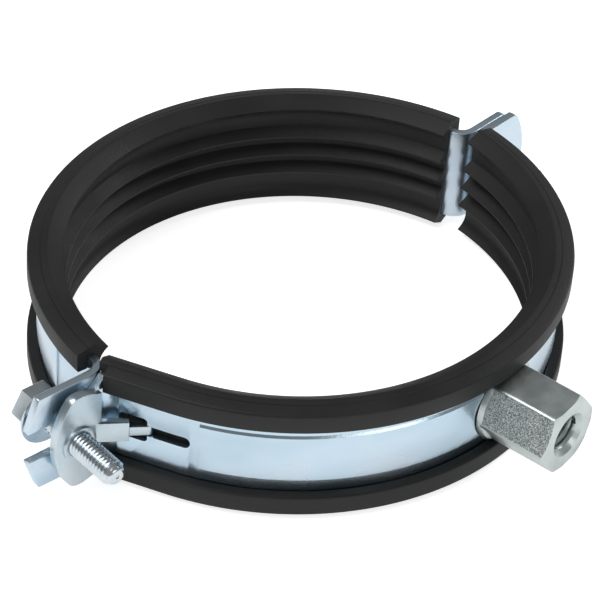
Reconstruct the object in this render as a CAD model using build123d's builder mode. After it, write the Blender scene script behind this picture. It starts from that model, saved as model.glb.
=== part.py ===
from build123d import *
import os
from math import cos, radians, sin

# Two-part rubber-lined pipe clamp, lying flat with the pipe axis upright.
# Origin: pipe axis at mid height. +Z along the pipe, -Y towards the connection nut,
# -X towards the screw lock, +X towards the hinge. Millimetres and degrees.

os.makedirs("parts", exist_ok=True)

# Band
band_inner_radius = 61.65
sheet = 2.0
band_width = 25.0
field_width = 12.4
field_rise = 0.5
field_flank = 0.5
bend_radius = 4.0
band_outer_radius = band_inner_radius + sheet
band_mid_radius = band_inner_radius + sheet / 2
half_band = band_width / 2

# Rubber lining
web_radius = band_inner_radius - 1.2
rib_radius = web_radius - 2.95
rib_pitch = 5.3
rib_foot = 1.8
rib_crest = 0.15
lip_tip = (web_radius - 2.45, half_band + 0.55)
lip_ridge = (band_inner_radius + 0.15, half_band + 2.75)
lip_edge = (band_outer_radius + 2.7, half_band + 1.6)
lip_foot = half_band - 3.2
lip_hollow = (web_radius - 0.6, half_band - 1.1)
lining_gap = 0.05

# Plan of the two halves, angles about each centre
front_centre = (0.0, 0.0)
front_arc = (-163.0, -12.5)
front_field = (-157.0, -23.0)
front_lining_end = -8.6
front_lip_gap = 2.4
lining_tail_overrun = 2.004884
lip_tail_gap = 3.595116
tail_rim = band_inner_radius + 1.55
back_centre = (-1.9, -10.9)
back_arc = (8.0, 167.2)
back_field = (22.0, 155.0)

# Lock side: out from the pipe, along to the back half
ear_foot = 1.55
lock_anchor = (-(band_inner_radius - ear_foot), 0.0)
lock_lean = 10.0
lock_lip_mid = -4.2
lock_lip_reach = 10.4
lock_lip_corner = (
    (5.6, half_band + 0.5), (5.6, half_band), (8.6, half_band - 3), (12, half_band - 3), (12, half_band + 0.5)
)
fork_mid = -2.1
fork_reach = 24.4
fork_slot = 8.0
fork_slot_centre = 14.5
fork_corner = (
    (fork_reach - 2.8, half_band + 1),
    (fork_reach - 2.8, half_band),
    (fork_reach + 0.01, 4.7),
    (fork_reach + 1, 4.7),
    (fork_reach + 1, half_band + 1),
)
lock_screw_out = 14.3
lock_screw_seat = 3.5
lock_screw_length = 25.0

# Hinge side
hinge_anchor = (band_inner_radius - ear_foot, -6.8)
hinge_lean = 3.0
hinge_front_mid = -1.1
hinge_back_mid = 1.1
front_ear = (16.5, 20.3)
back_ear = (14.4, 19.5)
ear_corner_radius = 1.8
hinge_screw_out = 12.5
hinge_screw_seat = 3.3
hinge_screw_length = 18.0
hinge_head_height = 2.2
hinge_head_radius = 5.5
hinge_hole_radius = 3.7

# Swinging nut plate
plate_back = -5.25
plate_thickness = 2.25
plate_inner = 8.0
plate_height = band_width - 0.2
plate_inner_height = plate_height - 3.0
plate_rim = (15.6, 20.3)
plate_corner_radius = 3.0
tongue_width = 5.2
tongue_neck = 2.4
knuckle_radius = 0.85
knuckle_step = 9.895116
hook_slot_width = 2.9
hook_slot_length = 11.6
window_width = 6.4
window_length = 6.8

# Threads and screws, M6
screw_radius = 3.0
thread_clearance = 0.05
collar_radius = 4.3
collar_height = 0.9
head_across_flats = 10.0
head_height = 6.0
flange_radius = 7.1
flange_edge = 1.2
tip_chamfer = 0.8

# Connection nut, M10 over M8
nut_across_flats = 17.0
nut_end_chamfer = 1.7
nut_end = band_outer_radius + 17.95
nut_foot_radius = 11.2
nut_foot_end = band_outer_radius + 4.05
m10_core_radius = 4.25
m10_depth = 10.5
m8_core_radius = 3.4
mouth_radius = 5.45
seat_gap = 0.02

# Worked out from the above
thread_radius = screw_radius + thread_clearance


def polar(radius, angle, centre):
    """Plan point at a radius and angle about a centre."""
    return (centre[0] + radius * cos(radians(angle)), centre[1] + radius * sin(radians(angle)))


def radial_plane(angle, centre):
    """Upright plane through a centre: local x is the radius, local y the height."""
    turn = radians(angle)
    return Plane(origin=(*centre, 0), x_dir=(cos(turn), sin(turn), 0), z_dir=(sin(turn), -cos(turn), 0))


class Side:
    """Frame of one pair of ears: out from the pipe, along towards the back half."""

    def __init__(self, anchor, lean, hand):
        self.anchor = anchor
        self.out = (hand * cos(radians(lean)), -hand * sin(radians(lean)))
        self.along = (sin(radians(lean)), cos(radians(lean)))

    def point(self, out, along):
        """Plan point of an outward and an along coordinate."""
        return tuple(self.anchor[i] + self.out[i] * out + self.along[i] * along for i in (0, 1))

    def face(self, along):
        """Plane of the ears at a depth, facing the back half: local x runs outward."""
        return Plane(
            origin=(*self.point(0, along), 0), x_dir=(*self.out, 0), z_dir=(*self.along, 0)
        )

    def corner(self, start, way, along):
        """Where a straight run of the band reaches the ear at a depth."""
        depth = sum((start[i] - self.anchor[i]) * self.along[i] for i in (0, 1))
        run = (along - depth) / sum(way[i] * self.along[i] for i in (0, 1))
        return (start[0] + way[0] * run, start[1] + way[1] * run)


lock = Side(lock_anchor, lock_lean, -1)
hinge = Side(hinge_anchor, hinge_lean, 1)


def arc_end(angle, centre, sense):
    """End of a band arc and the tangent leaving it, sense +1 anticlockwise."""
    turn = radians(angle)
    return polar(band_mid_radius, angle, centre), (-sense * sin(turn), sense * cos(turn))


def ear_run(angle, centre, sense, side, depth, reach):
    """Centre line from the end of an arc, round the bend and out along an ear."""
    start, way = arc_end(angle, centre, sense)
    return (start, side.corner(start, way, depth), side.point(reach, depth))


front_lock_run = ear_run(front_arc[0], front_centre, -1, lock, lock_lip_mid, lock_lip_reach)
front_hinge_run = ear_run(front_arc[1], front_centre, 1, hinge, hinge_front_mid, front_ear[1])
back_lock_run = ear_run(back_arc[1], back_centre, 1, lock, fork_mid, fork_reach)
back_hinge_run = ear_run(back_arc[0], back_centre, -1, hinge, hinge_back_mid, back_ear[1])
front_flat, front_flat_way = arc_end(front_arc[0], front_centre, -1)
front_flat_end = front_lock_run[1]
front_flat_length = sum((front_flat_end[i] - front_flat[i]) * front_flat_way[i] for i in (0, 1))
knuckle = tuple(front_flat_end[i] - front_flat_way[i] * knuckle_step for i in (0, 1))
hook_plane = Plane(
    origin=(*knuckle, 0),
    x_dir=(*front_flat_way, 0),
    z_dir=(-front_flat_way[1], front_flat_way[0], 0),
)


def pressed_arc(field, centre):
    """Band section with its raised middle field, over an arc."""
    flat = field_width / 2 - field_flank / 2
    step = field_width / 2 + field_flank / 2
    upper = [
        (band_outer_radius + field_rise, flat),
        (band_outer_radius, step),
        (band_outer_radius, half_band),
        (band_inner_radius, half_band),
        (band_inner_radius, step),
        (band_inner_radius + field_rise, flat),
    ]
    lower = [(radius, -height) for radius, height in reversed(upper)]
    with BuildSketch(radial_plane(field[0], centre)) as section:
        with BuildLine():
            Polyline(*upper, *lower, close=True)
        make_face()
    revolve(section.sketch, Axis((*centre, 0), (0, 0, 1)), revolution_arc=field[1] - field[0])


def plain_ends(arc, field, centre, runs, extra=0.0, mode=Mode.ADD):
    """Plain ends of a band with their ears, grown by extra on every side."""
    with BuildSketch(Plane.XY.offset(-half_band - extra)) as strip:
        with BuildLine():
            CenterArc(centre, band_mid_radius, arc[0], field[0] - arc[0])
            CenterArc(centre, band_mid_radius, field[1], arc[1] - field[1])
            for run in runs:
                FilletPolyline(*run, radius=bend_radius)
        trace(line_width=sheet + 2 * extra)
    extrude(strip.sketch, amount=band_width + 2 * extra, mode=mode)


def both_corners(plane, outline):
    """Outline at the upper corner of an ear and its mirror at the lower one."""
    with BuildSketch(plane) as corners:
        for side in (1, -1):
            with BuildLine():
                Polyline(*((out, side * height) for out, height in outline), close=True)
            make_face()
    return corners.sketch


def round_end(plane, start, ear, corner_radius, height=band_width):
    """Outline with a shallow round end: start, (shoulder, reach), height."""
    with BuildSketch(plane) as outline:
        with BuildLine():
            Polyline(
                (ear[0], -height / 2), (start, -height / 2), (start, height / 2), (ear[0], height / 2)
            )
            ThreePointArc((ear[0], height / 2), (ear[1], 0), (ear[0], -height / 2))
        make_face()
        corners = outline.vertices().filter_by_position(Axis.X, ear[0] - 0.01, ear[0] + 0.01)
        fillet(corners, corner_radius)
    return outline.sketch


def ear_waste(plane, ear):
    """What is cut off the end of a strip to leave a round ear."""
    with BuildSketch(plane) as waste:
        with Locations((ear[0] + 2, 0)):
            Rectangle(16, 40)
        add(round_end(Plane.XY, ear[0] - 8, ear, ear_corner_radius), mode=Mode.SUBTRACT)
    return waste.sketch


# Front half of the band: lip at the lock, round ear with a drawn thread at the hinge
with BuildPart() as front_band:
    plain_ends(front_arc, front_field, front_centre, (front_lock_run, front_hinge_run))
    pressed_arc(front_field, front_centre)
    lip_corners = both_corners(lock.face(lock_lip_mid), lock_lip_corner)
    extrude(lip_corners, amount=sheet, both=True, mode=Mode.SUBTRACT)
    ear_cut = ear_waste(hinge.face(hinge_front_mid), front_ear)
    extrude(ear_cut, amount=sheet, both=True, mode=Mode.SUBTRACT)
    with BuildSketch(hinge.face(hinge_front_mid - sheet / 2 - collar_height)):
        with Locations((hinge_screw_out, 0)):
            Circle(collar_radius)
    extrude(amount=collar_height + sheet / 2)
    with BuildSketch(hinge.face(hinge_front_mid)):
        with Locations((hinge_screw_out, 0)):
            Circle(thread_radius)
    extrude(amount=2 * sheet, both=True, mode=Mode.SUBTRACT)
    with BuildSketch(hook_plane):
        with Locations((hook_slot_width / 2 - hook_slot_length / 2, 0)):
            SlotOverall(hook_slot_length, hook_slot_width)
        with Locations((window_length / 2, 0)):
            RectangleRounded(window_length, window_width, 1.0)
    extrude(amount=2 * sheet, both=True, mode=Mode.SUBTRACT)
front_band.part.label = "front_band"

# Back half of the band: fork at the lock, drilled ear at the hinge
with BuildPart() as back_band:
    plain_ends(back_arc, back_field, back_centre, (back_lock_run, back_hinge_run))
    pressed_arc(back_field, back_centre)
    with BuildSketch(lock.face(fork_mid)):
        with Locations((fork_slot_centre, 0)):
            Circle(fork_slot / 2)
        with Locations((fork_slot_centre + 10, 0)):
            Rectangle(20, fork_slot)
    extrude(amount=2 * sheet, both=True, mode=Mode.SUBTRACT)
    fork_corners = both_corners(lock.face(fork_mid), fork_corner)
    extrude(fork_corners, amount=sheet, both=True, mode=Mode.SUBTRACT)
    ear_cut = ear_waste(hinge.face(hinge_back_mid), back_ear)
    extrude(ear_cut, amount=sheet, both=True, mode=Mode.SUBTRACT)
    with BuildSketch(hinge.face(hinge_back_mid)):
        with Locations((hinge_screw_out, 0)):
            Circle(hinge_hole_radius)
    extrude(amount=sheet, both=True, mode=Mode.SUBTRACT)
back_band.part.label = "back_band"


inner_profile = [
    (web_radius, 0),
    (rib_radius, 0),
    (rib_radius, rib_crest),
    (web_radius, rib_foot),
    (web_radius, rib_pitch - rib_foot),
    (rib_radius, rib_pitch - rib_crest),
    (rib_radius, rib_pitch + rib_crest),
    (web_radius, rib_pitch + rib_foot),
    (web_radius, lip_foot),
]
channel = (band_inner_radius - lining_gap, half_band + lining_gap)
outer_lip = [
    lip_ridge,
    lip_edge,
    (lip_edge[0], lip_foot),
    (band_outer_radius + lining_gap, lip_foot),
    (band_outer_radius + lining_gap, channel[1]),
]


def lining_section(plane):
    """Rubber section: three ribs inside, a lip round each edge of the band."""
    with BuildSketch(plane) as section:
        with BuildLine():
            Polyline(*inner_profile)
            ThreePointArc(inner_profile[-1], lip_hollow, lip_tip)
            Polyline(lip_tip, *outer_lip, channel, (channel[0], 0), inner_profile[0])
        make_face()
        mirror(about=Plane.XZ)
    return section.sketch


def outer_lip_cut(plane, rim=None):
    """What takes the outer lips off, and from the rim outwards the ridges too."""
    with BuildSketch(plane) as cut:
        with Locations((channel[0], 0)):
            Rectangle(10, 2 * channel[1], align=(Align.MIN, Align.CENTER))
        if rim:
            with Locations((rim, 0)):
                Rectangle(10, 40, align=(Align.MIN, Align.CENTER))
    return cut.sketch


# Rubber lining of the front half, with a straight tail towards the lock
with BuildPart() as front_rubber:
    tail_plane = radial_plane(front_arc[0], front_centre)
    front_section = lining_section(tail_plane)
    revolve(front_section, Axis.Z, revolution_arc=front_lining_end - front_arc[0])
    extrude(front_section, amount=front_flat_length + lining_tail_overrun)
    lip_tail_cut = outer_lip_cut(tail_plane.offset(front_flat_length - lip_tail_gap), tail_rim)
    extrude(lip_tail_cut, amount=front_flat_length, mode=Mode.SUBTRACT)
    hinge_lip_cut = outer_lip_cut(radial_plane(front_lining_end - front_lip_gap, front_centre))
    revolve(hinge_lip_cut, Axis.Z, revolution_arc=2 * front_lip_gap, mode=Mode.SUBTRACT)
    band_runs = (front_lock_run, front_hinge_run)
    plain_ends(front_arc, front_field, front_centre, band_runs, lining_gap, Mode.SUBTRACT)
front_rubber.part.label = "front_rubber"

# Rubber lining of the back half
with BuildPart() as back_rubber:
    back_section = lining_section(radial_plane(back_arc[0], back_centre))
    revolve(back_section, Axis((*back_centre, 0), (0, 0, 1)), revolution_arc=back_arc[1] - back_arc[0])
back_rubber.part.label = "back_rubber"

# Connection nut, welded on the middle of the front half
nut_axis_plane = Plane(origin=(0, 0, 0), x_dir=(1, 0, 0), z_dir=(0, -1, 0))
with BuildPart() as connection_nut:
    with BuildSketch(nut_axis_plane.offset(band_inner_radius)):
        RegularPolygon(nut_across_flats / 2, 6, major_radius=False, rotation=30)
    extrude(amount=nut_end - band_inner_radius)
    with BuildSketch(Plane.XY):
        with BuildLine():
            Polyline(
                (0, -band_inner_radius),
                (nut_foot_radius, -band_inner_radius),
                (nut_foot_radius, -band_outer_radius + 0.6),
                (nut_across_flats / 2 + 0.4, -nut_foot_end),
                (0, -nut_foot_end),
                close=True,
            )
        make_face()
    revolve(axis=Axis.Y)
    with Locations(*((0, -band_outer_radius, side * (lip_foot + 3.9)) for side in (1, -1))):
        Box(30, 5.6, 8, mode=Mode.SUBTRACT)
    with BuildSketch(Plane.XY):
        with BuildLine():
            Polyline(
                (nut_across_flats / 2 + 0.2, -nut_end),
                (nut_across_flats / 2 + 3.2, -nut_end),
                (nut_across_flats / 2 + 3.2, -nut_end + nut_end_chamfer),
                close=True,
            )
        make_face()
    revolve(axis=Axis.Y, mode=Mode.SUBTRACT)
    seat = band_outer_radius + seat_gap
    flat = field_width / 2 - field_flank / 2
    step = field_width / 2 + field_flank / 2
    with BuildSketch(radial_plane(-120, front_centre)):
        with BuildLine():
            Polyline(
                (0, -20), (seat, -20), (seat, -step), (seat + field_rise, -flat),
                (seat + field_rise, flat), (seat, step), (seat, 20), (0, 20), close=True,
            )
        make_face()
    revolve(axis=Axis.Z, revolution_arc=60, mode=Mode.SUBTRACT)
    with BuildSketch(Plane.XY):
        with BuildLine():
            Polyline(
                (0, -band_inner_radius),
                (m8_core_radius, -band_inner_radius),
                (m8_core_radius, -nut_end + m10_depth + 0.8),
                (m10_core_radius, -nut_end + m10_depth),
                (m10_core_radius, -nut_end + mouth_radius - m10_core_radius),
                (mouth_radius, -nut_end),
                (0, -nut_end),
                close=True,
            )
        make_face()
    revolve(axis=Axis.Y, mode=Mode.SUBTRACT)
connection_nut.part.label = "connection_nut"

# Nut plate that swings about its hook in the slot of the front half
with BuildPart() as lock_nut_plate:
    with BuildSketch(lock.face(plate_back)):
        add(round_end(Plane.XY, plate_inner, plate_rim, plate_corner_radius, plate_height))
        for side in (1, -1):
            with BuildLine():
                Polyline(
                    (plate_inner - 1, side * plate_inner_height / 2),
                    (plate_inner, side * plate_inner_height / 2),
                    (plate_inner + 5, side * plate_height / 2),
                    (plate_inner + 5, side * (plate_height / 2 + 1)),
                    (plate_inner - 1, side * (plate_height / 2 + 1)),
                    close=True,
                )
            make_face(mode=Mode.SUBTRACT)
    extrude(amount=-plate_thickness)
    with BuildSketch(lock.face(plate_back - plate_thickness - collar_height)):
        with Locations((lock_screw_out, 0)):
            Circle(collar_radius)
    extrude(amount=collar_height + plate_thickness / 2)
    root = lock.point(plate_inner + 1.2, plate_back - plate_thickness / 2)
    reach = tuple(root[i] - knuckle[i] for i in (0, 1))
    long = (reach[0] ** 2 + reach[1] ** 2) ** 0.5
    way = tuple(part / long for part in reach)
    with BuildSketch(Plane.XY.offset(-tongue_neck / 2)):
        with Locations(knuckle):
            Circle(knuckle_radius)
        with BuildLine():
            Line(knuckle, root)
        trace(line_width=2 * knuckle_radius)
    extrude(amount=tongue_neck)
    broad = tuple(knuckle[i] + way[i] * 4.4 for i in (0, 1))
    with BuildSketch(Plane.XY.offset(-tongue_width / 2)):
        with BuildLine():
            Line(broad, root)
        trace(line_width=sheet)
    extrude(amount=tongue_width)
    with BuildSketch(lock.face(plate_back)):
        with Locations((lock_screw_out, 0)):
            Circle(thread_radius)
    extrude(amount=10, both=True, mode=Mode.SUBTRACT)
    with BuildSketch(lock.face(plate_back)):
        Rectangle(60, 60)
    extrude(amount=6, mode=Mode.SUBTRACT)
lock_nut_plate.part.label = "lock_nut_plate"

# Screw of the lock, hexagon head with a flange
with BuildPart() as lock_screw:
    with BuildSketch(lock.face(lock_screw_seat)):
        with Locations((lock_screw_out, 0)):
            Circle(flange_radius)
    extrude(amount=flange_edge, taper=12)
    with BuildSketch(lock.face(lock_screw_seat)):
        with Locations((lock_screw_out, 0)):
            RegularPolygon(head_across_flats / 2, 6, major_radius=False, rotation=30)
    extrude(amount=head_height)
    with BuildSketch(lock.face(lock_screw_seat)):
        with Locations((lock_screw_out, 0)):
            Circle(screw_radius)
    extrude(amount=-lock_screw_length)
    chamfer(lock_screw.faces().sort_by(Axis((0, 0, 0), (*lock.along, 0)))[0].edges(), tip_chamfer)
lock_screw.part.label = "lock_screw"

# Screw of the hinge, low round head
with BuildPart() as hinge_screw:
    with BuildSketch(hinge.face(hinge_screw_seat)):
        with Locations((hinge_screw_out, 0)):
            Circle(hinge_head_radius)
    extrude(amount=hinge_head_height)
    fillet(hinge_screw.faces().sort_by(Axis((0, 0, 0), (*hinge.along, 0)))[-1].edges(), 1.2)
    with BuildSketch(hinge.face(hinge_screw_seat)):
        with Locations((hinge_screw_out, 0)):
            Circle(screw_radius)
    extrude(amount=-hinge_screw_length)
    chamfer(hinge_screw.faces().sort_by(Axis((0, 0, 0), (*hinge.along, 0)))[0].edges(), tip_chamfer)
    with BuildSketch(hinge.face(hinge_screw_seat + hinge_head_height)):
        with Locations((hinge_screw_out, 0)):
            RegularPolygon(2.0, 6, major_radius=False)
    extrude(amount=-1.4, mode=Mode.SUBTRACT)
hinge_screw.part.label = "hinge_screw"

pieces = (
    front_band,
    back_band,
    front_rubber,
    back_rubber,
    connection_nut,
    lock_nut_plate,
    lock_screw,
    hinge_screw,
)
for piece in pieces:
    export_step(piece.part, f"parts/{piece.part.label}.step")
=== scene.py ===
import math

import bmesh
import bpy
from mathutils import Matrix, Vector


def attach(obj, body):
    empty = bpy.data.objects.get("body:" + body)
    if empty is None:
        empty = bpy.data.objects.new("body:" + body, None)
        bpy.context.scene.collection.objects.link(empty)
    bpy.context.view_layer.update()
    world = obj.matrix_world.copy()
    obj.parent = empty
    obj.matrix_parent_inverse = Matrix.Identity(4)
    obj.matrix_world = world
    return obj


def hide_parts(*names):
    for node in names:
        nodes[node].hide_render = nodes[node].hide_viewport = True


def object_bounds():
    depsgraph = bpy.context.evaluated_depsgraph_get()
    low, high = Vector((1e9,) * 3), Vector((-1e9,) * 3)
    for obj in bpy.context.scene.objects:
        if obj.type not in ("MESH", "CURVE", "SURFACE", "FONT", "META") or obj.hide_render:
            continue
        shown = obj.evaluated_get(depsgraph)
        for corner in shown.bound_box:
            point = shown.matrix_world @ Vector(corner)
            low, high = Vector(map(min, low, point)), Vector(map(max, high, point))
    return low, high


# A rubber-lined pipe clamp that lies flat, seen from above its connection nut.
# Metres. Origin on the pipe axis at mid width, +Z along the pipe, -Y to the nut, -X to the lock.

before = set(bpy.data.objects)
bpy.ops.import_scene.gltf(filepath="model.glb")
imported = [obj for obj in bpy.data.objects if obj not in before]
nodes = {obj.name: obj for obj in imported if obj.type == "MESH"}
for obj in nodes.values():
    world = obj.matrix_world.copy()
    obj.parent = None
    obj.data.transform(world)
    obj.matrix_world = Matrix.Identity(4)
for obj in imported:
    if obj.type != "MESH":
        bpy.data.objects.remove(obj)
cad_low, cad_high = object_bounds()
scene = bpy.context.scene
MM = 0.001

# Meshes: merging distances in metres, angles in degrees, shares of a side
merge_distance, node_merge_distance = 1e-7, 1e-6
shading_angle, flat_angle, edge_angle = 35, 0.5, 32
corner_share, corner_steps, straight_corner = 0.45, 4, 0.02

# Edges of the sheet steel: width of the easing in millimetres
strip_easing, plate_easing = 0.22, 0.4

# Rubber section: radius and height in millimetres about each half's centre
band_inner_radius, band_outer_radius, half_band = 61.65, 63.65, 12.5
lining_gap = 0.05
web_radius, rib_radius, rib_pitch, rib_foot, rib_crest = 60.45, 57.5, 5.3, 1.8, 0.15
lip_tip, lip_ridge, lip_edge = (58.0, 13.05), (61.8, 15.25), (66.35, 14.1)
lip_foot, lip_hollow, hollow_steps = 9.3, (59.85, 11.4), 6
mould_line = [(63.2, 14.89), (63.3, 14.75), (63.42, 14.72), (63.52, 14.81)]
crest_rounding, root_rounding, tip_rounding = 0.12, 0.6, 0.35
ridge_rounding, edge_rounding, lip_rounding, seat_rounding, rim_rounding = 0.5, 0.7, 0.5, 0.3, 0.1

# Rubber runs: angles in degrees, lengths of the straight tail in millimetres
front_centre, back_centre = (0, 0), (-1.9, -10.9)
front_arc, front_lining_end, front_lip_gap = -163.0, -8.6, 2.4
front_lining_tail, front_lip_tail, tail_rim = 17.5, 15.2, 63.2
back_arc = (8.0, 167.2)
arc_step = 1.5

# Screws: place, lean in degrees and hand of each side, then millimetres from the head's seat
lock_side, hinge_side = ((-60.1, 0.0), 10.0, -1), ((60.1, -6.8), 3.0, 1)
lock_screw_out, lock_screw_seat, lock_screw_length, lock_mark_depth = 14.3, 3.5, 25.0, 0.35
hinge_screw_out, hinge_screw_seat, hinge_screw_length, hinge_mark_depth = 12.5, 3.3, 18.0, 0.3
head_foot, head_height, head_across_flats, head_chamfer = 0.3, 6.0, 10.0, 0.45
screw_radius, screw_core, screw_pitch, screw_crest, screw_shank = 2.98, 2.42, 1.0, 0.07, 2.44
thread_above_tip, thread_below_seat, neck_height = 0.75, 0.4, 0.3
runout_step, runout_slope = 0.05, 0.62
mark_radius, mark_slope = 0.35, 0.05
screw_tip = [(0.5, 0.05), (1.3, 0.0), (1.9, 0.25), (2.3, 0.7), (screw_shank, 1.2)]
flange_head = [(3.2, 0.0), (6.95, 0.0), (7.1, 0.2), (7.0, 0.6), (5.2, 1.5), (0.0, 1.5)]
low_head = [
    (3.1, 0.0), (5.4, 0.0), (5.5, 0.15), (5.5, 0.9), (4.9, 1.8), (4.1, 2.2), (1.9, 2.2),
    (1.8, 0.8), (0.0, 0.8),
]
lathe_steps, thread_steps = 48, 36

# Connection nut: radius and distance from the pipe axis in millimetres, angles in degrees
side_turn = 60
nut_across_flats, nut_turn, nut_corner, nut_steps = 17.0, 8.0, 9.68, 144
nut_end, nut_depth, nut_step, nut_mouth, nut_inner_core = 81.6, 10.5, 0.8, 5.45, 3.4
nut_chamfer_radius, nut_chamfer_slope = 8.7, 0.57
nut_core, nut_ridge, nut_pitch, nut_crest, nut_thread_start = 4.26, 3.9, 1.5, 0.1, 1.6
nut_thread_steps = 48
nut_root, nut_foot_end, nut_foot_half, nut_foot_margin = 63.7, 65.2, 9.2, 0.1
nut_foot = [(nut_inner_core, nut_root), (9.9, nut_root), (9.8, 64.2), (9.3, 64.9), (8.2, nut_foot_end)]
nut_foot_steps = 72
# Side of the nut that gets painted glints, in degrees, and how closely its faces must point that way
glint_side, glint_facing = 150, 0.99


def finished(bm, name, body, node, metal):
    """Turn a bmesh in metres into a smooth piece that rides on a body and may stand for a node."""
    bmesh.ops.remove_doubles(bm, verts=bm.verts, dist=merge_distance)
    bmesh.ops.recalc_face_normals(bm, faces=bm.faces)
    mesh = bpy.data.meshes.new(name)
    bm.to_mesh(mesh)
    bm.free()
    for polygon in mesh.polygons:
        polygon.use_smooth = True
    mesh.set_sharp_from_angle(angle=math.radians(shading_angle))
    piece = bpy.data.objects.new(name, mesh)
    scene.collection.objects.link(piece)
    mesh.materials.append(metal)
    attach(piece, body)
    if node:
        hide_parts(node)
    return piece


# Materials


def surface_group():
    """Skin of a worked surface: a cloudy tint, roughness that follows it, and fine grain."""
    tree = bpy.data.node_groups.new("worked_skin", "ShaderNodeTree")
    sockets = [
        ("Cloud scale", "INPUT", "NodeSocketFloat"), ("Cloud stretch", "INPUT", "NodeSocketVector"),
        ("Smoothest", "INPUT", "NodeSocketFloat"), ("Roughest", "INPUT", "NodeSocketFloat"),
        ("Grain scale", "INPUT", "NodeSocketFloat"), ("Grain strength", "INPUT", "NodeSocketFloat"),
        ("Grain depth", "INPUT", "NodeSocketFloat"), ("Tint", "OUTPUT", "NodeSocketFloat"),
        ("Roughness", "OUTPUT", "NodeSocketFloat"), ("Normal", "OUTPUT", "NodeSocketVector"),
    ]
    for label, way, kind in sockets:
        tree.interface.new_socket(label, in_out=way, socket_type=kind)
    given = tree.nodes.new("NodeGroupInput").outputs
    put_out = tree.nodes.new("NodeGroupOutput").inputs
    coordinates = tree.nodes.new("ShaderNodeTexCoord").outputs["Object"]
    stretched = tree.nodes.new("ShaderNodeMapping")
    cloud = tree.nodes.new("ShaderNodeTexNoise")
    cloud.inputs["Detail"].default_value = 3.0
    gloss = tree.nodes.new("ShaderNodeMapRange")
    gloss.inputs["From Min"].default_value = 0.3
    gloss.inputs["From Max"].default_value = 0.7
    grain = tree.nodes.new("ShaderNodeTexNoise")
    grain.inputs["Detail"].default_value = 2.0
    bump = tree.nodes.new("ShaderNodeBump")
    for source, target in [
        (coordinates, stretched.inputs["Vector"]),
        (given["Cloud stretch"], stretched.inputs["Scale"]),
        (stretched.outputs["Vector"], cloud.inputs["Vector"]),
        (given["Cloud scale"], cloud.inputs["Scale"]),
        (cloud.outputs["Fac"], put_out["Tint"]),
        (cloud.outputs["Fac"], gloss.inputs["Value"]),
        (given["Smoothest"], gloss.inputs["To Min"]),
        (given["Roughest"], gloss.inputs["To Max"]),
        (gloss.outputs["Result"], put_out["Roughness"]),
        (coordinates, grain.inputs["Vector"]),
        (given["Grain scale"], grain.inputs["Scale"]),
        (grain.outputs["Fac"], bump.inputs["Height"]),
        (given["Grain strength"], bump.inputs["Strength"]),
        (given["Grain depth"], bump.inputs["Distance"]),
        (bump.outputs["Normal"], put_out["Normal"]),
    ]:
        tree.links.new(source, target)
    return tree


worked_skin = surface_group()


def material(
    name, tints, cloud_scale, roughness, grain_scale, grain_strength,
    metallic=1.0, specular=0.5, stretch=(1.0, 1.0, 1.0), grain_depth=0.0002,
):
    """Principled material on the worked skin, with its tints as stops of a colour ramp."""
    made = bpy.data.materials.new(name)
    made.use_nodes = True
    tree = made.node_tree
    skin = tree.nodes.new("ShaderNodeGroup")
    skin.node_tree = worked_skin
    for label, value in {
        "Cloud scale": cloud_scale, "Cloud stretch": stretch, "Smoothest": roughness[0],
        "Roughest": roughness[1], "Grain scale": grain_scale, "Grain strength": grain_strength,
        "Grain depth": grain_depth,
    }.items():
        skin.inputs[label].default_value = value
    colour = tree.nodes.new("ShaderNodeValToRGB")
    stops = colour.color_ramp.elements
    while len(stops) < len(tints):
        stops.new(0.5)
    for stop, (position, tint) in zip(stops, tints):
        stop.position = position
        stop.color = (*tint, 1)
    shader = tree.nodes["Principled BSDF"]
    shader.inputs["Metallic"].default_value = metallic
    shader.inputs["Specular IOR Level"].default_value = specular
    tree.links.new(skin.outputs["Tint"], colour.inputs["Fac"])
    tree.links.new(colour.outputs["Color"], shader.inputs["Base Color"])
    tree.links.new(skin.outputs["Roughness"], shader.inputs["Roughness"])
    tree.links.new(skin.outputs["Normal"], shader.inputs["Normal"])
    return made


zinc = material(
    "bright_zinc",
    [(0.25, (0.46, 0.60, 0.70)), (0.45, (0.55, 0.68, 0.78)), (0.58, (0.62, 0.72, 0.80)),
     (0.75, (0.56, 0.66, 0.77))],
    cloud_scale=26.0, roughness=(0.2, 0.34), grain_scale=900.0, grain_strength=0.12,
    stretch=(1.0, 1.0, 2.2),
)
nut_metal = material(
    "blasted_zinc",
    [(0.3, (0.46, 0.52, 0.51)), (0.5, (0.56, 0.62, 0.61)), (0.7, (0.64, 0.69, 0.69))],
    cloud_scale=120.0, roughness=(0.3, 0.46), grain_scale=1100.0, grain_strength=0.3,
)
plate_metal = material(
    "satin_zinc",
    [(0.3, (0.50, 0.60, 0.66)), (0.5, (0.58, 0.67, 0.72)), (0.7, (0.64, 0.70, 0.74))],
    cloud_scale=60.0, roughness=(0.28, 0.4), grain_scale=800.0, grain_strength=0.25,
)
# Zinc with painted glints: bright and dark specks that stand in for the sparkle on the nut side that
# faces the lamps and camera
glint_painted_metal = material(
    "painted_glint_zinc",
    [(0.36, (0.16, 0.18, 0.18)), (0.5, (0.42, 0.46, 0.45)), (0.62, (0.8, 0.84, 0.83))],
    cloud_scale=3600.0, roughness=(0.3, 0.5), grain_scale=3600.0, grain_strength=0.6,
)
screw_metal = material(
    "screw_zinc",
    [(0.3, (0.54, 0.62, 0.67)), (0.6, (0.66, 0.72, 0.76))],
    cloud_scale=200.0, roughness=(0.16, 0.28), grain_scale=700.0, grain_strength=0.1,
    grain_depth=0.0001,
)
rubber = material(
    "lining_rubber",
    [(0.3, (0.014, 0.0146, 0.0142)), (0.55, (0.018, 0.0186, 0.018)),
     (0.72, (0.023, 0.0234, 0.0222))],
    cloud_scale=55.0, roughness=(0.42, 0.58), grain_scale=1500.0, grain_strength=0.25,
    metallic=0.0, specular=0.3,
)


# Strips and nut plate, with their sheared and pressed edges eased


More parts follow.
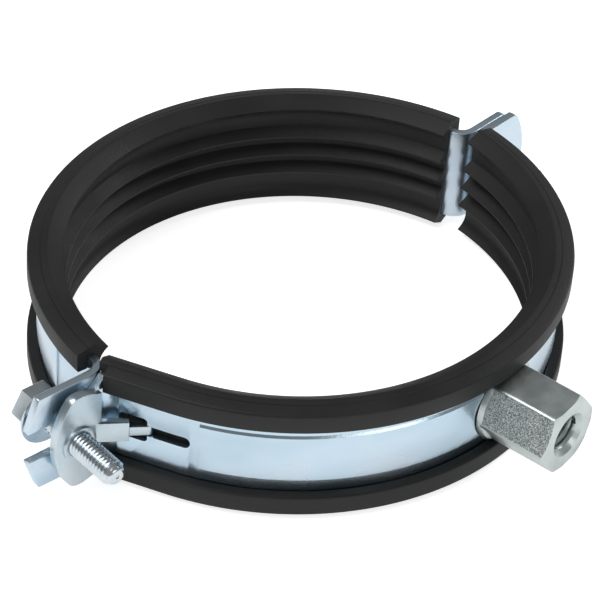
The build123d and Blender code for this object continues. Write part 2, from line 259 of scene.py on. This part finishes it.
def eased(node, name, body, metal, width):
    """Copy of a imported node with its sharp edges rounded."""
    bm = bmesh.new()
    bm.from_mesh(nodes[node].data)
    bm.transform(nodes[node].matrix_world)
    bmesh.ops.remove_doubles(bm, verts=bm.verts, dist=node_merge_distance)
    bmesh.ops.dissolve_limit(
        bm, angle_limit=math.radians(flat_angle), verts=bm.verts, edges=bm.edges
    )
    sharp = [
        edge for edge in bm.edges
        if edge.is_manifold and edge.calc_face_angle(0) > math.radians(edge_angle)
    ]
    bmesh.ops.bevel(
        bm, geom=sharp, offset=width * MM, segments=2, profile=0.5, affect="EDGES", material=-1,
        clamp_overlap=True,
    )
    return finished(bm, name, body, node, metal)


eased("front_band", "front_strip", "front_half", zinc, strip_easing)
eased("back_band", "back_strip", "back_half", zinc, strip_easing)
eased("lock_nut_plate", "hook_plate", "nut_plate", plate_metal, plate_easing)


# Rubber linings


def rounded(corners, radii):
    """Closed outline with its corners rounded; a radius of 0 leaves a corner sharp."""
    outline = []
    for i, corner in enumerate(corners):
        here = Vector(corner)
        before = Vector(corners[i - 1]) - here
        after = Vector(corners[(i + 1) % len(corners)]) - here
        half = before.angle(after) / 2
        if radii[i] == 0 or math.pi / 2 - half < straight_corner:
            outline.append(here)
            continue
        reach = min(
            radii[i] / math.tan(half), before.length * corner_share, after.length * corner_share
        )
        start, end = here + before.normalized() * reach, here + after.normalized() * reach
        for step in range(corner_steps + 1):
            t = step / corner_steps
            outline.append(start * (1 - t) ** 2 + here * 2 * t * (1 - t) + end * t ** 2)
    return outline


def section(outer):
    """Whole closed rubber section as radius and height, for the given shape of its outside."""
    hollow = []
    low, high, bulge = Vector((web_radius, lip_foot)), Vector(lip_tip), Vector(lip_hollow)
    control = 2 * bulge - (low + high) / 2
    for step in range(1, hollow_steps):
        t = step / hollow_steps
        hollow.append(tuple(low * (1 - t) ** 2 + control * 2 * t * (1 - t) + high * t ** 2))
    ribs = [
        (rib_radius, rib_crest), (web_radius, rib_foot), (web_radius, rib_pitch - rib_foot),
        (rib_radius, rib_pitch - rib_crest), (rib_radius, rib_pitch + rib_crest),
        (web_radius, rib_pitch + rib_foot), (web_radius, lip_foot),
    ]
    rib_rounding = [
        crest_rounding, root_rounding, root_rounding, crest_rounding, crest_rounding,
        root_rounding, root_rounding,
    ]
    points = [*ribs, *hollow, lip_tip, *(point for point, rounding in outer)]
    radii = [
        *rib_rounding, *(0 for _ in hollow), tip_rounding, *(rounding for point, rounding in outer)
    ]
    lower = [(radius, -height) for radius, height in reversed(points)]
    return rounded(points + lower, radii + list(reversed(radii)))


channel_edge = half_band + lining_gap
channel_inside = (band_inner_radius - lining_gap, channel_edge)
ridge_slope = (lip_ridge[1] - lip_edge[1]) / (lip_edge[0] - lip_ridge[0])
rim_height = lip_ridge[1] - (tail_rim - lip_ridge[0]) * ridge_slope

# Outsides of the section as points with their rounding: with the outer lips, up to the band's
# edge only, and with lips that don't fold over the band
lipped = [
    (lip_ridge, ridge_rounding), *((point, 0) for point in mould_line), (lip_edge, edge_rounding),
    ((lip_edge[0], lip_foot), lip_rounding),
    ((band_outer_radius + lining_gap, lip_foot), seat_rounding),
    ((band_outer_radius + lining_gap, channel_edge), 0), (channel_inside, 0),
]
rimmed = [
    (lip_ridge, ridge_rounding), ((tail_rim, rim_height), rim_rounding),
    ((tail_rim, channel_edge), 0), (channel_inside, 0),
]
unfolded = [
    (lip_ridge, ridge_rounding), (lip_edge, edge_rounding), ((lip_edge[0], channel_edge), 0),
    (channel_inside, 0),
]


def ways(angle):
    """Outward way, and way along a tail, at an angle in degrees."""
    turn = math.radians(angle)
    return (
        Vector((math.cos(turn), math.sin(turn), 0)), Vector((math.sin(turn), -math.cos(turn), 0))
    )


def section_loop(bm, outline, angle, centre, shift=0.0):
    """Section as a closed loop of edges on the upright plane at an angle, moved along the tail."""
    out, tail = ways(angle)
    origin = Vector((*centre, 0)) + tail * shift
    verts = [bm.verts.new((origin + out * p[0] + Vector((0, 0, p[1]))) * MM) for p in outline]
    bm.faces.new(verts)
    return [bm.edges.get((verts[i - 1], verts[i])) for i in range(len(verts))]


def close_end(bm, geometry):
    """Cap the open end that a spin or an extrusion leaves."""
    edges = [item for item in geometry if isinstance(item, bmesh.types.BMEdge)]
    bmesh.ops.contextual_create(bm, geom=edges)


def spun(bm, outline, start, end, centre):
    """Section turned from one angle to another about a centre."""
    edges = section_loop(bm, outline, start, centre)
    swept = bmesh.ops.spin(
        bm, geom=edges, cent=Vector((*centre, 0)) * MM, axis=(0, 0, 1),
        angle=math.radians(end - start), steps=max(2, round(abs(end - start) / arc_step)),
    )
    close_end(bm, swept["geom_last"])


def straight(bm, outline, angle, centre, start, end):
    """Section drawn straight along the tail of the lining."""
    edges = section_loop(bm, outline, angle, centre, start)
    drawn = bmesh.ops.extrude_edge_only(bm, edges=edges)["geom"]
    verts = [item for item in drawn if isinstance(item, bmesh.types.BMVert)]
    bmesh.ops.translate(bm, verts=verts, vec=ways(angle)[1] * (end - start) * MM)
    close_end(bm, [
        item for item in drawn
        if isinstance(item, bmesh.types.BMEdge) and all(vert in verts for vert in item.verts)
    ])


def front_lining():
    """Lining of the front half with its straight tail towards the lock."""
    bm = bmesh.new()
    lip_end = front_lining_end - front_lip_gap
    spun(bm, section(lipped), front_arc, lip_end, front_centre)
    spun(bm, section(unfolded), lip_end, front_lining_end, front_centre)
    straight(bm, section(lipped), front_arc, front_centre, 0.0, front_lip_tail)
    straight(bm, section(rimmed), front_arc, front_centre, front_lip_tail, front_lining_tail)
    return finished(bm, "front_lining", "front_half", "front_rubber", rubber)


def back_lining():
    """Lining of the back half."""
    bm = bmesh.new()
    spun(bm, section(lipped), *back_arc, back_centre)
    return finished(bm, "back_lining", "back_half", "back_rubber", rubber)


front_lining()
back_lining()


# Screws


def side_frame(side, out):
    """Matrix from a screw's own frame, z along the screw, to the clamp, in metres."""
    (x, y), lean, hand = side
    turn = math.radians(lean)
    outward = Vector((hand * math.cos(turn), -hand * math.sin(turn), 0))
    along = Vector((math.sin(turn), math.cos(turn), 0))
    place = Matrix((outward, along.cross(outward), along)).transposed().to_4x4()
    return Matrix.Scale(MM, 4) @ Matrix.Translation(Vector((x, y, 0)) + outward * out) @ place


def open_line(bm, profile, shift=0.0):
    """Edges through a profile of radius and height."""
    verts = [bm.verts.new((radius, 0, shift + height)) for radius, height in profile]
    return [bm.edges.new(pair) for pair in zip(verts, verts[1:])]


def lathe(bm, profile, steps=lathe_steps):
    """Profile turned full round the z axis."""
    bmesh.ops.spin(
        bm, geom=open_line(bm, profile), cent=(0, 0, 0), axis=(0, 0, 1), angle=math.tau,
        steps=steps, use_merge=True,
    )


def thread(bm, profile, pitch, start, turns, steps=thread_steps):
    """Profile drawn along a right-handed helix round the z axis."""
    bmesh.ops.spin(
        bm, geom=open_line(bm, profile, start), cent=(0, 0, 0), axis=(0, 0, 1),
        dvec=(0, 0, pitch / steps), angle=math.tau * turns, steps=round(steps * turns),
    )


def outer_thread(bm, low, high):
    """Thread ridge between two heights that runs out at the lower, free end."""
    half = screw_pitch / 2
    ridge = [
        (screw_core, -half), (screw_radius, -screw_crest), (screw_radius, screw_crest),
        (screw_core, half),
    ]
    known = set(bm.verts)
    thread(bm, ridge, screw_pitch, low + half, (high - low) / screw_pitch - 1)
    for vert in bm.verts:
        if vert in known:
            continue
        radius = math.hypot(vert.co.x, vert.co.y)
        limit = screw_core + runout_step + (vert.co.z - low) * runout_slope
        if radius > limit:
            vert.co.x *= limit / radius
            vert.co.y *= limit / radius


def hexagon(bm, across, low, high, chamfer):
    """Hexagon block with its upper edges rounded off."""
    made = bmesh.ops.create_circle(bm, cap_ends=True, segments=6, radius=across / math.sqrt(3))
    half_turn = Matrix.Rotation(math.radians(side_turn / 2), 3, "Z")
    bmesh.ops.rotate(bm, verts=made["verts"], cent=(0, 0, 0), matrix=half_turn)
    bmesh.ops.translate(bm, verts=made["verts"], vec=(0, 0, low))
    face = made["verts"][0].link_faces[0]
    top = bmesh.ops.extrude_face_region(bm, geom=[face])["geom"]
    top_verts = [item for item in top if isinstance(item, bmesh.types.BMVert)]
    bmesh.ops.translate(bm, verts=top_verts, vec=(0, 0, high - low))
    top_edges = [item for item in top if isinstance(item, bmesh.types.BMEdge)]
    bmesh.ops.bevel(
        bm, geom=top_edges, offset=chamfer, segments=3, profile=0.5, affect="EDGES", material=-1
    )


def turned_screw(seat, length, mark_depth, head):
    """Screw in its own frame: rounded tip with its centre mark, rolled thread and turned head."""
    bm = bmesh.new()
    tip = seat - length
    lathe(bm, [
        (0, tip + mark_depth), (mark_radius, tip + mark_depth - mark_slope),
        *((radius, tip + height) for radius, height in screw_tip),
        (screw_shank, seat - neck_height),
        *((radius, seat + height) for radius, height in head),
    ])
    outer_thread(bm, tip + thread_above_tip, seat - thread_below_seat)
    return bm


def lock_screw():
    """Hexagon flange screw of the lock."""
    seat = lock_screw_seat
    bm = turned_screw(seat, lock_screw_length, lock_mark_depth, flange_head)
    hexagon(bm, head_across_flats, seat + head_foot, seat + head_height, head_chamfer)
    bmesh.ops.transform(bm, matrix=side_frame(lock_side, lock_screw_out), verts=bm.verts)
    return finished(bm, "flange_screw", "lock_screw", "lock_screw", screw_metal)


def hinge_screw():
    """Low-headed screw of the hinge."""
    bm = turned_screw(hinge_screw_seat, hinge_screw_length, hinge_mark_depth, low_head)
    bmesh.ops.transform(bm, matrix=side_frame(hinge_side, hinge_screw_out), verts=bm.verts)
    return finished(bm, "low_head_screw", "hinge_screw", "hinge_screw", screw_metal)


# Connection nut


def nut_wall(angle):
    """Radius of the hexagon with its slightly rounded corners at an angle in degrees."""
    off = (angle - nut_turn + side_turn / 2) % side_turn - side_turn / 2
    to_flat = math.radians(side_turn / 2 - abs(off))
    return min(nut_across_flats / 2 / math.cos(to_flat), nut_corner)


def nut_chamfer(angle):
    """Height at which the hexagon's wall meets the chamfer of its free end."""
    return nut_end - max(0.0, nut_wall(angle) - nut_chamfer_radius) * nut_chamfer_slope


def steady(value):
    """Radius or height that is the same at every angle."""
    return lambda angle: value


def ring(bm, radius, height):
    """Closed ring round the z axis whose radius and height may follow the angle."""
    made = bmesh.ops.create_circle(bm, segments=nut_steps, radius=1.0)["verts"]
    for vert in made:
        angle = math.degrees(math.atan2(vert.co.y, vert.co.x))
        way = Vector((vert.co.x, vert.co.y, 0)).normalized()
        vert.co = way * radius(angle) + Vector((0, 0, height(angle)))
    return list({edge for vert in made for edge in vert.link_edges})


def welded_nut():
    """Hexagon nut with a chamfered end, a stepped bore, a welded foot and painted glints on one side.
    """
    bm = bmesh.new()
    loops = [
        ring(bm, nut_wall, steady(nut_root)),
        ring(bm, nut_wall, nut_chamfer),
        ring(bm, lambda angle: min(nut_wall(angle), nut_chamfer_radius), steady(nut_end)),
        ring(bm, steady(nut_mouth), steady(nut_end)),
        ring(bm, steady(nut_core), steady(nut_end - nut_mouth + nut_core)),
        ring(bm, steady(nut_core), steady(nut_end - nut_depth)),
        ring(bm, steady(nut_inner_core), steady(nut_end - nut_depth - nut_step)),
        ring(bm, steady(nut_inner_core), steady(nut_root)),
    ]
    for near, far in zip(loops, loops[1:]):
        bmesh.ops.bridge_loops(bm, edges=near + far)
    lathe(bm, nut_foot, nut_foot_steps)
    for vert in bm.verts:
        if vert.co.z < nut_foot_end + nut_foot_margin:
            vert.co.y = max(-nut_foot_half, min(nut_foot_half, vert.co.y))
    to_band = Matrix.Scale(MM, 4) @ Matrix.Rotation(math.radians(90), 4, "X")
    bmesh.ops.transform(bm, matrix=to_band, verts=bm.verts)
    nut = finished(bm, "welded_nut", "front_half", "connection_nut", nut_metal)
    # The faces of one nut side get the zinc with painted glints
    nut.data.materials.append(glint_painted_metal)
    turn = math.radians(nut_turn + glint_side)
    facing = Vector((math.cos(turn), 0, math.sin(turn)))
    for polygon in nut.data.polygons:
        if polygon.normal.dot(facing) > glint_facing and -polygon.center.y > nut_foot_end * MM:
            polygon.material_index = 1
    return nut


def nut_thread():
    """Thread inside the connection nut's bore."""
    bm = bmesh.new()
    half = nut_pitch / 2
    ridge = [(nut_core, -half), (nut_ridge, -nut_crest), (nut_ridge, nut_crest), (nut_core, half)]
    thread(bm, ridge, nut_pitch, 0.0, nut_depth / nut_pitch - 1, nut_thread_steps)
    to_mouth = Matrix.Translation((0, nut_thread_start - nut_end, 0))
    to_bore = Matrix.Scale(MM, 4) @ to_mouth @ Matrix.Rotation(math.radians(-90), 4, "X")
    bmesh.ops.transform(bm, matrix=to_bore, verts=bm.verts)
    return finished(bm, "bore_thread", "front_half", None, nut_metal)


lock_screw()
hinge_screw()
nut_thread()
welded_nut()


# Floor and surroundings, white to the camera and plain grey to the lighting

floor_gap, floor_size = 0.0002, 4.0
floor_glow, world_glow = (0.42, 0.75), (0.24, 1.0)


def camera_glow(tree, glow, strength):
    """Strength with one value for the camera's own rays and a lower one for all others."""
    rays = tree.nodes.new("ShaderNodeLightPath")
    choice = tree.nodes.new("ShaderNodeMapRange")
    choice.inputs["To Min"].default_value, choice.inputs["To Max"].default_value = glow
    tree.links.new(rays.outputs["Is Camera Ray"], choice.inputs["Value"])
    tree.links.new(choice.outputs["Result"], strength)


floor_bm = bmesh.new()
bmesh.ops.create_grid(floor_bm, x_segments=1, y_segments=1, size=floor_size)
bmesh.ops.translate(floor_bm, verts=floor_bm.verts, vec=(0, 0, cad_low[2] - floor_gap))
floor_mesh = bpy.data.meshes.new("floor")
floor_bm.to_mesh(floor_mesh)
floor_bm.free()
floor = bpy.data.objects.new("floor", floor_mesh)
scene.collection.objects.link(floor)
floor_material = bpy.data.materials.new("floor_white")
floor_material.use_nodes = True
floor_shader = floor_material.node_tree.nodes["Principled BSDF"].inputs
floor_shader["Base Color"].default_value = (0.95, 0.95, 0.95, 1)
floor_shader["Roughness"].default_value = 0.9
floor_shader["Emission Color"].default_value = (1, 1, 1, 1)
camera_glow(floor_material.node_tree, floor_glow, floor_shader["Emission Strength"])
floor_mesh.materials.append(floor_material)

world = bpy.data.worlds.new("studio")
world.use_nodes = True
scene.world = world
background = world.node_tree.nodes["Background"].inputs
background["Color"].default_value = (1, 1, 1, 1)
camera_glow(world.node_tree, world_glow, background["Strength"])


# Lamps


def lamp(name, place, size, power):
    """Soft rectangular lamp aimed at the clamp's middle."""
    data = bpy.data.lights.new(name, "AREA")
    data.shape = "RECTANGLE"
    data.size, data.size_y = size
    data.energy = power
    made = bpy.data.objects.new(name, data)
    made.location = place
    made.rotation_euler = (-Vector(place)).to_track_quat("-Z", "Y").to_euler()
    scene.collection.objects.link(made)


lamp("key", place=(-0.4, 0.3, 0.9), size=(0.7, 0.5), power=4.6)
lamp("front", place=(-0.2, -1.0, 0.5), size=(0.6, 0.3), power=1.4)
lamp("right", place=(0.9, -0.3, 0.6), size=(0.4, 0.4), power=2.8)


# Camera at the photograph's angle

look = Vector((0.6249, 0.4799, -0.6157)).normalized()
camera_distance, camera_roll = 0.6886, math.radians(3.78)

camera_data = bpy.data.cameras.new("camera")
camera_data.lens, camera_data.sensor_width = 177.2, 36.0
camera_data.shift_x, camera_data.shift_y = 0.02652, -0.03847
camera_data.clip_start, camera_data.clip_end = 0.01, 20.0
camera = bpy.data.objects.new("camera", camera_data)
scene.collection.objects.link(camera)
level_right = look.cross(Vector((0, 0, 1))).normalized()
level_up = level_right.cross(look)
right = level_right * math.cos(camera_roll) + level_up * math.sin(camera_roll)
up = right.cross(look)
turned = Matrix((right, up, -look)).transposed()
camera.matrix_world = Matrix.Translation(-look * camera_distance) @ turned.to_4x4()
scene.camera = camera

scene.view_settings.view_transform = "Standard"
